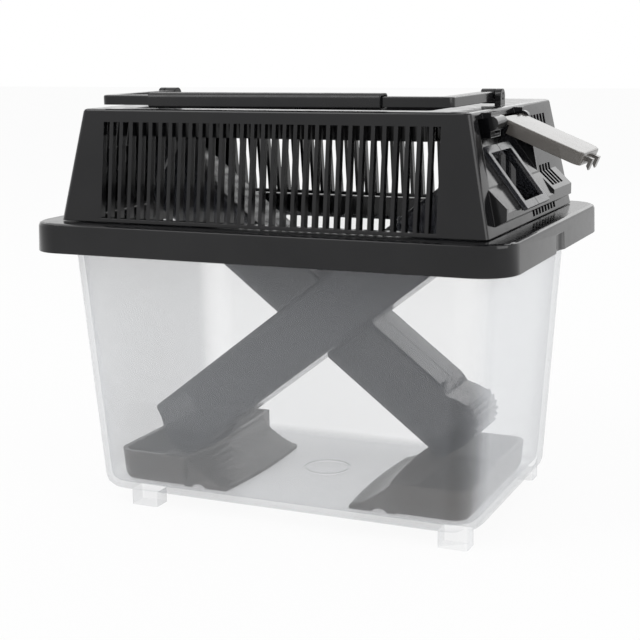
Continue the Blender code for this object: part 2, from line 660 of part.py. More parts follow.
def half_tube_mesh(side):
    """One half shell of a tube, split along its middle, as a mesh."""
    half = TUBE_WIDTH / 2
    seam = side * TUBE_SEAM / 2
    outer = prism(tube_outline(), seam, side * half)
    skin = [e for e in outer.edges if all(abs(v.co.y - side * half) < TUBE_SEAM for v in e.verts)
            and e.calc_length() > TUBE_MOUTH / 2]
    round_edges(outer, skin, TUBE_CORNER, 3)
    shell = finish(outer, "tube_half", CUTTERS)
    lip = TUBE_HEIGHT / 2 + TUBE_LIP
    low = min(seam, side * (half + TUBE_LIP))
    high = max(seam, side * (half + TUBE_LIP))
    flange = box((TUBE_MOUTH - TUBE_LIP_THICKNESS, low, -lip), (TUBE_MOUTH, high, lip))
    tools = [combine(shell, "UNION", flange, "tube_flange")]
    hollow = prism(tube_outline(TUBE_WALL, OVERRUN), -side * OVERRUN, side * (half - TUBE_WALL))
    tools.append(combine(shell, "DIFFERENCE", hollow, "tube_hollow"))
    graph = bpy.context.evaluated_depsgraph_get()
    mesh = bpy.data.meshes.new_from_object(shell.evaluated_get(graph))
    for used in (shell, *tools):
        bpy.data.objects.remove(used, do_unlink=True)
    mesh.materials.append(material(SMOKE))
    return mesh


def make_tubes():
    """Two tubes of two half shells each, the second turned over and at the other end."""
    meshes = {"near": half_tube_mesh(-1), "far": half_tube_mesh(1)}
    front = Matrix.Translation((AXIS_X, -TUBE_OFFSET_Y, AXIS_Z)) @ Matrix.Rotation(-TUBE_TILT, 4, "Y")
    rear = Matrix.Rotation(math.pi, 4, "Z") @ front @ Matrix.Rotation(math.pi, 4, "X")
    for tube, matrix in (("front", front), ("rear", rear)):
        for half, mesh in meshes.items():
            made = bpy.data.objects.new(f"tube_{tube}_{half}", mesh)
            PARTS.objects.link(made)
            made.matrix_world = matrix
            smooth(made)


def door_mesh():
    """A shallow cap with a barrel and pins on its hinge line, lying level towards +X."""
    half = DOOR_WIDTH / 2
    top = BARREL_RADIUS
    cap = box((0, -half, top - DOOR_DEPTH), (DOOR_LENGTH, half, top))
    far = [e for e in edges_along(cap, 2) if e.verts[0].co.x > DOOR_LENGTH / 2]
    round_edges(cap, far, DOOR_CORNER, 4)
    crown = [e for e in edges_at(cap, top, SEAT_GAP) if max(v.co.x for v in e.verts) > DOOR_LENGTH / 4]
    round_edges(cap, crown, DOOR_WALL / 2, 2)
    door = finish(cap, "door", CUTTERS)
    start = 2 * BARREL_RADIUS + DOOR_WALL
    hollow = box((start, -half + DOOR_WALL, top - DOOR_DEPTH - OVERRUN),
                 (DOOR_LENGTH - DOOR_WALL, half - DOOR_WALL, top - DOOR_WALL))
    far = [e for e in edges_along(hollow, 2) if e.verts[0].co.x > DOOR_LENGTH / 2]
    round_edges(hollow, far, DOOR_CORNER - DOOR_WALL, 3)
    tools = [combine(door, "DIFFERENCE", hollow, "door_hollow")]
    relief = box((-OVERRUN, -half - OVERRUN, top - DOOR_DEPTH - OVERRUN),
                 (start - DOOR_WALL, half + OVERRUN, 0))
    tools.append(combine(door, "DIFFERENCE", relief, "door_relief"))
    barrel = rod(BARREL_RADIUS, (0, -half, 0), (0, half, 0), 20)
    tools.append(combine(door, "UNION", barrel, "door_barrel"))
    reach = half + RUN_GAP + PIN_REACH
    pin = rod(PIN_RADIUS, (0, -reach, 0), (0, reach, 0), 12)
    tools.append(combine(door, "UNION", pin, "door_pin"))
    hooks = []
    for y in (-DOOR_HOOK_SPACING / 2, DOOR_HOOK_SPACING / 2):
        hooks.append(prism([(DOOR_LENGTH - DOOR_WALL, top - DOOR_WALL),
                            (DOOR_LENGTH + DOOR_HOOK_LENGTH, top - DOOR_WALL),
                            (DOOR_LENGTH + DOOR_HOOK_LENGTH, top - DOOR_DEPTH - DOOR_HOOK_LENGTH / 2),
                            (DOOR_LENGTH + DOOR_HOOK_LENGTH / 2, top - DOOR_DEPTH),
                            (DOOR_LENGTH + DOOR_HOOK_LENGTH / 2, top - 2 * DOOR_WALL),
                            (DOOR_LENGTH - DOOR_WALL, top - 2 * DOOR_WALL)],
                           y - DOOR_HOOK_WIDTH / 2, y + DOOR_HOOK_WIDTH / 2))
    tools.append(combine(door, "UNION", merge(*hooks), "door_hooks"))
    graph = bpy.context.evaluated_depsgraph_get()
    mesh = bpy.data.meshes.new_from_object(door.evaluated_get(graph))
    for used in (door, *tools):
        bpy.data.objects.remove(used, do_unlink=True)
    mesh.materials.append(material(SMOKE))
    return mesh


def make_doors():
    """The right door stands part open, and the left one is shut."""
    mesh = door_mesh()
    hinge = Matrix.Translation((HINGE_X, -TUBE_OFFSET_Y, HINGE_Z))
    other_end = Matrix.Rotation(math.pi, 4, "Z")
    for name, end, angle in (("door_right", Matrix(), DOOR_REST), ("door_left", other_end, DOOR_SHUT)):
        made = bpy.data.objects.new(name, mesh)
        PARTS.objects.link(made)
        made.matrix_world = end @ hinge @ Matrix.Rotation(angle, 4, "Y")
        smooth(made)


def hatch_axis():
    """The Y and Z of the hatch's hinge line."""
    y = HATCH_OPENING_WIDTH / 2 - HATCH_HINGE_INSET
    return y, COLLAR_LOW_Z + COLLAR_SHELF_HEIGHT + SEAT_GAP + HATCH_PLATE / 2


def make_hatch():
    """The plate in the top, with a raised border, a finger tab and two pins."""
    y, z = hatch_axis()
    half_x = HATCH_OPENING_LENGTH / 2 - HATCH_SIDE_GAP
    half_y = HATCH_OPENING_WIDTH / 2 - HATCH_SIDE_GAP
    low = -HATCH_PLATE / 2
    plate = box((-half_x, -half_y - y, low), (half_x, half_y - y - HATCH_SIDE_GAP, -low))
    round_edges(plate, edges_along(plate, 2), COLLAR_CORNER, 4)
    hatch = finish(plate, "hatch", PARTS, SMOKE)
    rim = box((-half_x + HATCH_RIM, -half_y - y + HATCH_RIM, 0),
              (half_x - HATCH_RIM, -2 * HATCH_RIM, HATCH_PLATE))
    round_edges(rim, edges_along(rim, 2), COLLAR_CORNER - HATCH_RIM / 2, 3)
    combine(hatch, "DIFFERENCE", rim, "hatch_panel")
    tab = box((-HATCH_TAB_LENGTH / 2, -half_y - y + HATCH_RIM / 2, 0),
              (HATCH_TAB_LENGTH / 2, -half_y - y + HATCH_RIM / 2 + HATCH_TAB_WIDTH, HATCH_TAB_HEIGHT))
    combine(hatch, "UNION", tab, "hatch_tab")
    reach = HATCH_OPENING_LENGTH / 2 + COLLAR_WALL / 2
    pin = rod(PIN_RADIUS, (-reach, 0, 0), (reach, 0, 0), 12)
    combine(hatch, "UNION", pin, "hatch_pin")
    place(hatch, Matrix.Translation((0, y, z)))
    smooth(hatch)
    return hatch


def make_handle():
    """The bail, folded to the front, turning on pins in the hood's ears."""
    outer = HANDLE_HALF_LENGTH
    inner = outer - ARM_WIDTH
    reach = HANDLE_REACH + ARM_WIDTH / 2
    frame = box((-outer, -reach, -ARM_HEIGHT / 2), (outer, 0, ARM_HEIGHT / 2))
    front = [e for e in edges_along(frame, 2) if e.verts[0].co.y < -reach / 2]
    round_edges(frame, front, ARM_CORNER, 6)
    round_edges(frame, edges_at(frame, ARM_HEIGHT / 2, SEAT_GAP), ARM_HEIGHT / 5, 2)
    handle = finish(frame, "handle", PARTS, BLACK)
    window = box((-inner, -reach + ARM_WIDTH, -ARM_HEIGHT), (inner, OVERRUN, ARM_HEIGHT))
    front = [e for e in edges_along(window, 2) if e.verts[0].co.y < 0]
    round_edges(window, front, ARM_INNER_CORNER, 3)
    combine(handle, "DIFFERENCE", window, "handle_window")
    bosses = merge(rod(BOSS_RADIUS, (inner - RUN_GAP, 0, 0), (outer, 0, 0), 20),
                   rod(BOSS_RADIUS, (-outer, 0, 0), (-inner + RUN_GAP, 0, 0), 20))
    combine(handle, "UNION", bosses, "handle_bosses")
    tip = outer + RUN_GAP + EAR_THICKNESS
    pins = merge(rod(PIN_RADIUS, (inner, 0, 0), (tip, 0, 0), 12),
                 rod(PIN_RADIUS, (-tip, 0, 0), (-inner, 0, 0), 12))
    combine(handle, "UNION", pins, "handle_pins")
    place(handle, Matrix.Translation((0, 0, HANDLE_Z)))
    smooth(handle)
    grip = box((-GRIP_LENGTH / 2, -GRIP_WIDTH / 2, -GRIP_HEIGHT / 2),
               (GRIP_LENGTH / 2, GRIP_WIDTH / 2, GRIP_HEIGHT / 2))
    round_edges(grip, edges_along(grip, 0), GRIP_HEIGHT / 3, 3)
    sleeve = finish(grip, "handle_grip", PARTS, BLACK)
    half_y = ARM_WIDTH / 2 + SEAT_GAP
    half_z = ARM_HEIGHT / 2 + SEAT_GAP
    core = box((-GRIP_LENGTH, -half_y, -half_z), (GRIP_LENGTH, half_y, half_z))
    combine(sleeve, "DIFFERENCE", core, "grip_core")
    place(sleeve, Matrix.Translation((GRIP_CENTRE_X, -HANDLE_REACH, HANDLE_Z)))
    smooth(sleeve)
    return handle


def bulge(bm, start_x):
    """Bows the inner side of a tray outwards in plan."""
    half = (TRAY_BACK_Y - TRAY_FRONT_Y) / 2
    for vert in bm.verts:
        if vert.co.x > start_x:
            share = min(1.0, abs(vert.co.y) / half)
            vert.co.x += TRAY_BULGE * (1.0 - share * share)


def tray_block(inset, floor, height):
    """The dish of a tray as a solid, with round outer corners and a bowed inner side."""
    half = (TRAY_BACK_Y - TRAY_FRONT_Y) / 2 - inset
    bm = box((inset, -half, floor), (TRAY_BOX_LENGTH - inset, half, height))
    lower = [v for v in bm.verts if v.co.z < (floor + height) / 2 and v.co.x < TRAY_BOX_LENGTH / 2]
    bmesh.ops.translate(bm, vec=(TRAY_DRAFT, 0, 0), verts=lower)
    outer = [e for e in edges_along(bm, 2) if e.verts[0].co.x < TRAY_BOX_LENGTH / 2]
    round_edges(bm, outer, TRAY_CORNER - inset, 4)
    base = edges_at(bm, floor, SEAT_GAP)
    round_edges(bm, base, TRAY_BASE_ROUND - inset / 2, 2)
    side = [e for e in edges_along(bm, 1) if min(v.co.x for v in e.verts) > TRAY_BOX_LENGTH * 0.7]
    bmesh.ops.subdivide_edges(bm, edges=side, cuts=7, use_grid_fill=True)
    bulge(bm, TRAY_BOX_LENGTH * 0.7)
    return bm


def ramp_profile(drop, start):
    """The ramp's side outline, with its ribs where it has no drop."""
    points = []
    steps = 2 * RAMP_RIBS
    for i in range(steps + 1):
        share = i / steps
        x = TRAY_BOX_LENGTH - TRAY_WALL + (TRAY_RAMP_LENGTH + TRAY_WALL) * share
        z = RAMP_TOE + (TRAY_HEIGHT - RAMP_TOE) * (1.0 - share) ** 1.5
        if not drop and i % 2 and i < steps:
            z += RAMP_RIB_HEIGHT
        points.append((x, z - drop))
    points.append((points[-1][0], start))
    points.append((points[0][0], start))
    return points


def tube_room(turned, inverse):
    """The room that a tube's lower end needs over a tray, in the tray's own frame."""
    low = TUBE_AXIS_HEIGHT - TUBE_HEIGHT / 2 - RUN_GAP
    if not turned:
        low -= TAIL_FLARE + TAIL_TOOTH
    high = TUBE_AXIS_HEIGHT + TUBE_HEIGHT
    start = -TUBE_TAIL - TAIL_TOOTH - TUBE_WALL
    half = TUBE_WIDTH / 2 + RUN_GAP
    room = prism([in_port(start, low), in_port(TUBE_TAIL, low), in_port(TUBE_TAIL, high),
                  in_port(start, high)], -TUBE_OFFSET_Y - half, -TUBE_OFFSET_Y + half)
    if turned:
        room = half_turn(room)
    bmesh.ops.transform(room, matrix=inverse, verts=room.verts)
    return room


def make_trays():
    """The two trays, each a dish with a ribbed ramp on its inner side."""
    half = (TRAY_BACK_Y - TRAY_FRONT_Y) / 2
    middle = (TRAY_BACK_Y + TRAY_FRONT_Y) / 2
    arch_x = TRAY_BOX_LENGTH + RAMP_ARCH_OFFSET
    for name, x, flip, near, far in (
            ("tray_left", TRAY_LEFT_X, 0.0, RAMP_FRONT_INSET, RAMP_BACK_INSET),
            ("tray_right", TRAY_RIGHT_X, math.pi, RAMP_BACK_INSET, RAMP_FRONT_INSET)):
        matrix = Matrix.Translation((x, middle, TRAY_Z)) @ Matrix.Rotation(flip, 4, "Z")
        tray = finish(tray_block(0.0, 0.0, TRAY_HEIGHT), name, PARTS, TRAY_SMOKE)
        ramp = prism(ramp_profile(0.0, 0.0), near - half, half - far, 8)
        bulge(ramp, 0.0)
        combine(tray, "UNION", ramp, f"{name}_ramp")
        hollow = prism(ramp_profile(TRAY_WALL, -OVERRUN)[1:-3] + [
            (TRAY_BOX_LENGTH + TRAY_RAMP_LENGTH - 2 * TRAY_WALL, -OVERRUN), (TRAY_BOX_LENGTH, -OVERRUN)],
            near - half + TRAY_WALL, half - far - TRAY_WALL, 8)
        bulge(hollow, 0.0)
        combine(tray, "DIFFERENCE", hollow, f"{name}_under_ramp")
        arch = rod(RAMP_ARCH_RADIUS, (arch_x, -half - OVERRUN, -RAMP_ARCH_DROP),
                   (arch_x, half + OVERRUN, -RAMP_ARCH_DROP), 32)
        combine(tray, "DIFFERENCE", arch, f"{name}_arch")
        dish = tray_block(TRAY_WALL, TRAY_WALL, TRAY_HEIGHT + OVERRUN)
        combine(tray, "DIFFERENCE", dish, f"{name}_dish")
        room = tube_room(bool(flip), matrix.inverted())
        combine(tray, "DIFFERENCE", room, f"{name}_tube_room")
        place(tray, matrix)
        smooth(tray)


def lower_by_feet():
    """Parents every piece and tool to an empty that is lowered by the feet's height."""
    root = bpy.data.objects.new("cricket_keeper_root", None)
    PARTS.objects.link(root)
    root.location = (0, 0, -FOOT_HEIGHT)
    for item in [*PARTS.objects, *CUTTERS.objects]:
        if item is not root:
            item.parent = root


clear_scene()
PARTS = new_collection("cricket_keeper")
CUTTERS = new_collection("cutters")
make_tub()
make_rim()
make_hood()
make_tubes()
make_doors()
make_hatch()
make_handle()
make_trays()
lower_by_feet()
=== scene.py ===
import math

import bpy
from mathutils import Matrix, Vector


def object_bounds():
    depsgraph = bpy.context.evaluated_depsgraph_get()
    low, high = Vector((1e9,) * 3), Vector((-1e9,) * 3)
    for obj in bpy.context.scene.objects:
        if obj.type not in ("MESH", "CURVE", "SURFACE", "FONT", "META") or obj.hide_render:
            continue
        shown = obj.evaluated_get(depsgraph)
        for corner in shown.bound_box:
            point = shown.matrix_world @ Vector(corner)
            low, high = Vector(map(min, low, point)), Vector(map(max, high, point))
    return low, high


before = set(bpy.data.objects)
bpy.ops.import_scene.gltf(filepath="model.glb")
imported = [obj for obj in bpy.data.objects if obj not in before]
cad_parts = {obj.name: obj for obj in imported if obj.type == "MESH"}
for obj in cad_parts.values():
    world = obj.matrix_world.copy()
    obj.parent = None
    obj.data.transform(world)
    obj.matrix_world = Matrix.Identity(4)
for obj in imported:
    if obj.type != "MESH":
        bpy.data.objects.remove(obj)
CAD_LOW, CAD_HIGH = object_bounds()

bl_info = {
    "name": "Cricket keeper finishes",
    "version": (1, 0, 0),
    "blender": (4, 5, 0),
    "location": "3D View > Sidebar > Keeper",
    "description": "Finishes and studio for a clear tub with a vented black lid",
    "category": "Object",
}

MM = 0.001

# Node groups of the object
BLACK_NODES = ("rim_frame", "hood", "handle")
GRIP_NODES = ("handle_grip",)
TUBE_NODES = ("tube_front_near", "tube_front_far", "tube_rear_near", "tube_rear_far")
DOOR_NODES = ("door_right", "door_left")
TRAY_NODES = ("tray_left", "tray_right")

# Meshes of the frame are loose triangles, so these join and smooth what is drawn
WELD_DISTANCE = 0.01 * MM
SMOOTH_ANGLE = math.radians(32)

# Camera of the photograph
CAMERA_PLACE = Vector((0.2076, -0.4697, 0.1660))
CAMERA_YAW = math.radians(24.088)
CAMERA_PITCH = math.radians(11.577)
CAMERA_ROLL = -0.01276
CAMERA_LENS = 77.6
CAMERA_SENSOR = 36.0

# Patterns of moulded plastic, as repeats per metre and as ranges of the noise
CLOUD_SCALE = 38.0
HAZE_SCALE = 210.0
WAVE_SCALE = 26.0
GRAIN_SCALE = 1900.0
GRAIN_SHARE = 0.008
CLOUD_RANGE = (0.35, 0.7)
HAZE_RANGE = (0.38, 0.72)

# Radius of the edges as the light picks them out
SMOKED_EDGE = 0.3 * MM
BLACK_EDGE = 0.35 * MM
GRIP_EDGE = 0.4 * MM

# Cloud amount, least and greatest roughness
CLEAR_SURFACE = (0.0, 0.015, 0.05)
GRIP_SURFACE = (0.5, 0.24, 0.4)
TUBE_SURFACE = (0.25, 0.1, 0.2)
DOOR_SURFACE = (0.25, 0.08, 0.18)
TRAY_SURFACE = (0.25, 0.12, 0.24)
BLACK_CLOUD = 0.35
BLACK_DUST = 0.012
BLACK_SPECULAR = 0.34
CLEAR_RIPPLE_SHARE = 0.3

# Share of light that a see-through plastic stops, face on and at a glancing angle
CLEAR_COVER = (0.05, 0.62)
TUBE_COVER = (0.74, 0.97)
DOOR_COVER = (0.84, 0.97)
TRAY_COVER = (0.7, 0.96)
COVER_BLEND = 0.35

# Lamps, as place and side length
KEY_LAMP = ((-0.55, -0.65, 0.95), 0.7)
SIDE_LAMP = ((0.95, -0.15, 0.45), 0.6)
BACK_LAMP = ((0.1, 0.9, 0.6), 0.7)
FLOOR_COLOUR = (0.9, 0.9, 0.9, 1.0)


class KeeperFinish(bpy.types.PropertyGroup):
    """Colours and gloss of the plastics"""

    clear: bpy.props.FloatVectorProperty(
        name="Clear plastic", description="Colour of the haze in the tub's walls",
        default=(0.74, 0.76, 0.79), subtype="COLOR", min=0.0, max=1.0)
    black: bpy.props.FloatVectorProperty(
        name="Black plastic", description="Colour of the lid and the handle",
        default=(0.0040, 0.0040, 0.0048), subtype="COLOR", min=0.0, max=1.0)
    black_gloss: bpy.props.FloatProperty(
        name="Black roughness", description="Roughness of the polished black plastic",
        default=0.13, subtype="FACTOR", min=0.0, max=1.0)
    tube: bpy.props.FloatVectorProperty(
        name="Tube plastic", description="Colour of the smoked tubes",
        default=(0.042, 0.044, 0.052), subtype="COLOR", min=0.0, max=1.0)
    door: bpy.props.FloatVectorProperty(
        name="Door plastic", description="Colour of the smoked doors and the hatch",
        default=(0.086, 0.078, 0.070), subtype="COLOR", min=0.0, max=1.0)
    tray: bpy.props.FloatVectorProperty(
        name="Tray plastic", description="Colour of the brown smoked trays",
        default=(0.072, 0.060, 0.051), subtype="COLOR", min=0.0, max=1.0)
    ripple: bpy.props.FloatProperty(
        name="Ripple", description="Depth of the slow waves that moulding leaves",
        default=0.06 * MM, subtype="DISTANCE", min=0.0, max=1.0 * MM, precision=6)


class KeeperStudio(bpy.types.PropertyGroup):
    """Floor, lamps and world"""

    floor_size: bpy.props.FloatProperty(
        name="Floor size", description="Length of each side of the floor",
        default=8.0, subtype="DISTANCE", min=1.0, max=40.0)
    floor_white: bpy.props.FloatProperty(
        name="Floor white", description="Share of plain white in what the camera sees of the floor",
        default=0.93, subtype="FACTOR", min=0.0, max=1.0)
    world_light: bpy.props.FloatProperty(
        name="World light", description="Strength of the soft light from all round",
        default=0.62, min=0.0, max=4.0)
    key_power: bpy.props.FloatProperty(
        name="Key lamp", description="Power of the large lamp above and to the left",
        default=5.5, subtype="POWER", min=0.0, max=200.0)
    side_power: bpy.props.FloatProperty(
        name="Side lamp", description="Power of the lamp to the right",
        default=3.0, subtype="POWER", min=0.0, max=200.0)
    back_power: bpy.props.FloatProperty(
        name="Back lamp", description="Power of the lamp behind",
        default=1.2, subtype="POWER", min=0.0, max=200.0)


def new_node(tree, kind, place=(0, 0), **values):
    """A shader node with its settings and input values."""
    node = tree.nodes.new(kind)
    node.location = place
    for key, value in values.items():
        if key in node.inputs:
            node.inputs[key].default_value = value
        else:
            setattr(node, key, value)
    return node


def moulded_surface():
    """The node group for moulded plastic: cloudy colour, uneven gloss and slow ripples."""
    name = "Moulded surface"
    if name in bpy.data.node_groups:
        return bpy.data.node_groups[name]
    group = bpy.data.node_groups.new(name, "ShaderNodeTree")
    sockets = group.interface
    sockets.new_socket("Vector", in_out="INPUT", socket_type="NodeSocketVector")
    sockets.new_socket("Colour", in_out="INPUT", socket_type="NodeSocketColor")
    sockets.new_socket("Cloud", in_out="INPUT", socket_type="NodeSocketColor")
    sockets.new_socket("Cloud Amount", in_out="INPUT", socket_type="NodeSocketFloat")
    sockets.new_socket("Low Roughness", in_out="INPUT", socket_type="NodeSocketFloat")
    sockets.new_socket("High Roughness", in_out="INPUT", socket_type="NodeSocketFloat")
    sockets.new_socket("Colour", in_out="OUTPUT", socket_type="NodeSocketColor")
    sockets.new_socket("Roughness", in_out="OUTPUT", socket_type="NodeSocketFloat")
    sockets.new_socket("Height", in_out="OUTPUT", socket_type="NodeSocketFloat")
    given = new_node(group, "NodeGroupInput", (-900, 0))
    result = new_node(group, "NodeGroupOutput", (700, 0))
    clouds = new_node(group, "ShaderNodeTexNoise", (-600, 300), Scale=CLOUD_SCALE, Detail=3.0, Roughness=0.5)
    haze = new_node(group, "ShaderNodeTexNoise", (-600, 0), Scale=HAZE_SCALE, Detail=5.0, Roughness=0.62)
    waves = new_node(group, "ShaderNodeTexNoise", (-600, -300), Scale=WAVE_SCALE, Detail=1.5, Roughness=0.4)
    grain = new_node(group, "ShaderNodeTexNoise", (-600, -560), Scale=GRAIN_SCALE, Detail=2.0, Roughness=0.5)
    for texture in (clouds, haze, waves, grain):
        group.links.new(given.outputs["Vector"], texture.inputs["Vector"])
    spread = new_node(group, "ShaderNodeMapRange", (-380, 300))
    spread.inputs["From Min"].default_value = CLOUD_RANGE[0]
    spread.inputs["From Max"].default_value = CLOUD_RANGE[1]
    group.links.new(clouds.outputs["Fac"], spread.inputs["Value"])
    amount = new_node(group, "ShaderNodeMath", (-180, 300), operation="MULTIPLY")
    group.links.new(spread.outputs["Result"], amount.inputs[0])
    group.links.new(given.outputs["Cloud Amount"], amount.inputs[1])
    tint = new_node(group, "ShaderNodeMix", (60, 260), data_type="RGBA")
    group.links.new(amount.outputs[0], tint.inputs["Factor"])
    group.links.new(given.outputs["Colour"], tint.inputs["A"])
    group.links.new(given.outputs["Cloud"], tint.inputs["B"])
    gloss = new_node(group, "ShaderNodeMapRange", (60, 0))
    gloss.inputs["From Min"].default_value = HAZE_RANGE[0]
    gloss.inputs["From Max"].default_value = HAZE_RANGE[1]
    group.links.new(haze.outputs["Fac"], gloss.inputs["Value"])
    group.links.new(given.outputs["Low Roughness"], gloss.inputs["To Min"])
    group.links.new(given.outputs["High Roughness"], gloss.inputs["To Max"])
    fine = new_node(group, "ShaderNodeMath", (-180, -560), operation="MULTIPLY")
    fine.inputs[1].default_value = GRAIN_SHARE
    group.links.new(grain.outputs["Fac"], fine.inputs[0])
    relief = new_node(group, "ShaderNodeMath", (60, -320), operation="ADD")
    group.links.new(waves.outputs["Fac"], relief.inputs[0])
    group.links.new(fine.outputs[0], relief.inputs[1])
    group.links.new(tint.outputs["Result"], result.inputs["Colour"])
    group.links.new(gloss.outputs["Result"], result.inputs["Roughness"])
    group.links.new(relief.outputs[0], result.inputs["Height"])
    return group


def plastic(name, colour, cloud, amount, low, high, depth, edge):
    """A moulded plastic. Returns the material and its shader."""
    made = bpy.data.materials.new(name)
    made.use_nodes = True
    tree = made.node_tree
    shader = tree.nodes["Principled BSDF"]
    place = new_node(tree, "ShaderNodeTexCoord", (-900, 0))
    surface = new_node(tree, "ShaderNodeGroup", (-600, 0), node_tree=moulded_surface())
    surface.inputs["Colour"].default_value = (*colour, 1.0)
    surface.inputs["Cloud"].default_value = (*cloud, 1.0)
    surface.inputs["Cloud Amount"].default_value = amount
    surface.inputs["Low Roughness"].default_value = low
    surface.inputs["High Roughness"].default_value = high
    tree.links.new(place.outputs["Object"], surface.inputs["Vector"])
    tree.links.new(surface.outputs["Colour"], shader.inputs["Base Color"])
    tree.links.new(surface.outputs["Roughness"], shader.inputs["Roughness"])
    bump = new_node(tree, "ShaderNodeBump", (-280, -300))
    bump.inputs["Strength"].default_value = 1.0
    bump.inputs["Distance"].default_value = depth
    tree.links.new(surface.outputs["Height"], bump.inputs["Height"])
    if edge:
        soft = new_node(tree, "ShaderNodeBevel", (-520, -420), samples=6)
        soft.inputs["Radius"].default_value = edge
        tree.links.new(soft.outputs["Normal"], bump.inputs["Normal"])
    tree.links.new(bump.outputs["Normal"], shader.inputs["Normal"])
    return made, shader


def see_through(made, shader, facing, grazing):
    """Lets a plastic show what is behind it, less where it turns away."""
    tree = made.node_tree
    angle = new_node(tree, "ShaderNodeLayerWeight", (-280, 320), Blend=COVER_BLEND)
    cover = new_node(tree, "ShaderNodeMapRange", (-100, 320))
    cover.inputs["To Min"].default_value = facing
    cover.inputs["To Max"].default_value = grazing
    tree.links.new(angle.outputs["Facing"], cover.inputs["Value"])
    tree.links.new(cover.outputs["Result"], shader.inputs["Alpha"])


def smoked(name, colour, lift, surface, cover, ripple):
    """A smoked plastic that shows a little of what is behind it."""
    paler = tuple(channel * lift for channel in colour)
    made, shader = plastic(name, colour, paler, *surface, ripple, SMOKED_EDGE)
    see_through(made, shader, *cover)
    return made


def clothe(node, material):
    """Puts a material on a CAD node, and joins and smooths what is drawn of it."""
    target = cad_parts[node]
    if not target.material_slots:
        target.data.materials.append(material)
    for place in target.material_slots:
        place.material = material
    weld = target.modifiers.new("weld", "WELD")
    weld.merge_threshold = WELD_DISTANCE
    split = target.modifiers.new("split", "EDGE_SPLIT")
    split.split_angle = SMOOTH_ANGLE
    split.use_edge_sharp = False
    target.modifiers.new("normals", "WEIGHTED_NORMAL")


class KEEPER_OT_clear_tub(bpy.types.Operator):
    """Clear plastic for the tub"""

    bl_idname = "keeper.clear_tub"
    bl_label = "Clear Tub"

    def execute(self, context):
        finish = context.scene.keeper_finish
        clear, shader = plastic("clear plastic", finish.clear, finish.clear, *CLEAR_SURFACE,
                                finish.ripple * CLEAR_RIPPLE_SHARE, 0.0)
        see_through(clear, shader, *CLEAR_COVER)
        clothe("tub", clear)
        return {"FINISHED"}


class KEEPER_OT_black_mouldings(bpy.types.Operator):
    """Polished black plastic for the lid, the hood and the handle"""

    bl_idname = "keeper.black_mouldings"
    bl_label = "Black Mouldings"

    def execute(self, context):
        finish = context.scene.keeper_finish
        dusty = tuple(channel + BLACK_DUST for channel in finish.black)
        black, shader = plastic("polished black plastic", finish.black, dusty, BLACK_CLOUD,
                                finish.black_gloss * 0.8, finish.black_gloss * 1.6,
                                finish.ripple, BLACK_EDGE)
        shader.inputs["Specular IOR Level"].default_value = BLACK_SPECULAR
        for node in BLACK_NODES:
            clothe(node, black)
        grip, shader = plastic("satin black plastic", finish.black, dusty, *GRIP_SURFACE,
                               finish.ripple, GRIP_EDGE)
        shader.inputs["Specular IOR Level"].default_value = BLACK_SPECULAR
        for node in GRIP_NODES:
            clothe(node, grip)
        return {"FINISHED"}


class KEEPER_OT_smoked_parts(bpy.types.Operator):
    """Smoked plastic for the tubes, the doors and the hatch"""

    bl_idname = "keeper.smoked_parts"
    bl_label = "Smoked Parts"

    def execute(self, context):
        finish = context.scene.keeper_finish
        smoke = smoked("smoked blue-grey plastic", finish.tube, 1.35, TUBE_SURFACE, TUBE_COVER,
                       finish.ripple)
        for node in TUBE_NODES:
            clothe(node, smoke)
        door = smoked("smoked door plastic", finish.door, 1.3, DOOR_SURFACE, DOOR_COVER,
                      finish.ripple)
        for node in DOOR_NODES:
            clothe(node, door)
        clothe("hatch", door)
        return {"FINISHED"}


class KEEPER_OT_smoked_trays(bpy.types.Operator):
    """Brown smoked plastic for the trays"""

    bl_idname = "keeper.smoked_trays"
    bl_label = "Smoked Trays"

    def execute(self, context):
        finish = context.scene.keeper_finish
        tray = smoked("brown smoked plastic", finish.tray, 1.4, TRAY_SURFACE, TRAY_COVER,
                      finish.ripple)
        for node in TRAY_NODES:
            clothe(node, tray)
        return {"FINISHED"}


def white_when_seen(tree):
    """A value that is 1 for rays from the camera, from gloss or through clear plastic."""
    rays = new_node(tree, "ShaderNodeLightPath", (-900, 300))
    gloss = new_node(tree, "ShaderNodeMath", (-700, 300), operation="MAXIMUM")
    tree.links.new(rays.outputs["Is Camera Ray"], gloss.inputs[0])
    tree.links.new(rays.outputs["Is Glossy Ray"], gloss.inputs[1])
    both = new_node(tree, "ShaderNodeMath", (-520, 300), operation="MAXIMUM")
    tree.links.new(gloss.outputs[0], both.inputs[0])
    tree.links.new(rays.outputs["Is Transmission Ray"], both.inputs[1])
    return both.outputs[0]


def build_floor(studio, height):
    """The pale floor that keeps a faint shadow."""
    bpy.ops.mesh.primitive_plane_add(size=studio.floor_size, location=(0, 0, 0))
    floor = bpy.context.object
    floor.name = "floor"
    floor.data.transform(Matrix.Translation((0, 0, height)))
    made = bpy.data.materials.new("pale floor")
    made.use_nodes = True
    tree = made.node_tree
    tree.nodes.clear()
    result = new_node(tree, "ShaderNodeOutputMaterial", (400, 0))
    matt = new_node(tree, "ShaderNodeBsdfDiffuse", (-100, -120))
    matt.inputs["Color"].default_value = FLOOR_COLOUR
    plain = new_node(tree, "ShaderNodeEmission", (-100, 60))
    share = new_node(tree, "ShaderNodeMath", (-320, 300), operation="MULTIPLY")
    share.inputs[1].default_value = studio.floor_white
    tree.links.new(white_when_seen(tree), share.inputs[0])
    mix = new_node(tree, "ShaderNodeMixShader", (160, 0))
    tree.links.new(share.outputs[0], mix.inputs["Fac"])
    tree.links.new(matt.outputs[0], mix.inputs[1])
    tree.links.new(plain.outputs[0], mix.inputs[2])
    tree.links.new(mix.outputs[0], result.inputs["Surface"])
    floor.data.materials.append(made)


